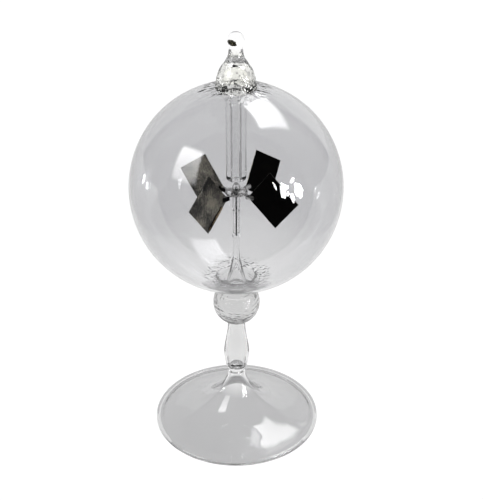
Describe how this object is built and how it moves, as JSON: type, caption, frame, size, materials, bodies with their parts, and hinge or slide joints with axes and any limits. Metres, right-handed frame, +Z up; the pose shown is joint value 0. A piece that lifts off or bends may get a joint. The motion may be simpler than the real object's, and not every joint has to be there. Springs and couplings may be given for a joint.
{
  "type": "crookes radiometer",
  "caption": "Light mill: a rotor with blackened vanes turns on a needle inside a sealed glass globe, on a blown glass knop, baluster stem and flared foot.",
  "frame": {"origin": "centre of the foot's rim on the surface it stands on", "axes": "+Z up along the needle's axis, towards the sealed tip"},
  "size_m": [0.08, 0.08, 0.1657],
  "materials": {
    "foot_glass": "clear blown glass, faintly grey",
    "stem_glass": "clear blown glass",
    "globe_glass": "clear blown glass, faintly grey",
    "top_glass": "clear flame-worked glass",
    "inner_glass": "clear glass tube",
    "needle_steel": "drawn steel, pointed",
    "hub_metal": "stamped thin sheet",
    "vane_bright": "bright rolled leaf, slightly mottled",
    "vane_soot": "matt lampblack"
  },
  "bodies": {
    "stand": {"foot": "foot_glass", "baluster_stem": "stem_glass", "knop": "stem_glass", "globe": "globe_glass", "guard_tube": "inner_glass", "bell_finial": "top_glass", "seal_tip": "top_glass", "inner_post": "inner_glass", "needle_tube": "inner_glass", "needle": "needle_steel"},
    "rotor": {"bearing_cup": "inner_glass", "hub_spider": "hub_metal", "vane_plate_1": "vane_bright", "vane_plate_2": "vane_bright", "vane_plate_3": "vane_bright", "vane_plate_4": "vane_bright", "vane_coat_1": "vane_soot", "vane_coat_2": "vane_soot", "vane_coat_3": "vane_soot", "vane_coat_4": "vane_soot"}
  },
  "joints": [
    {"name": "rotor_spin", "type": "hinge", "parent": "stand", "child": "rotor", "pos_m": [0, 0, 0.107], "axis": [0, 0, 1], "continuous": true}
  ]
}
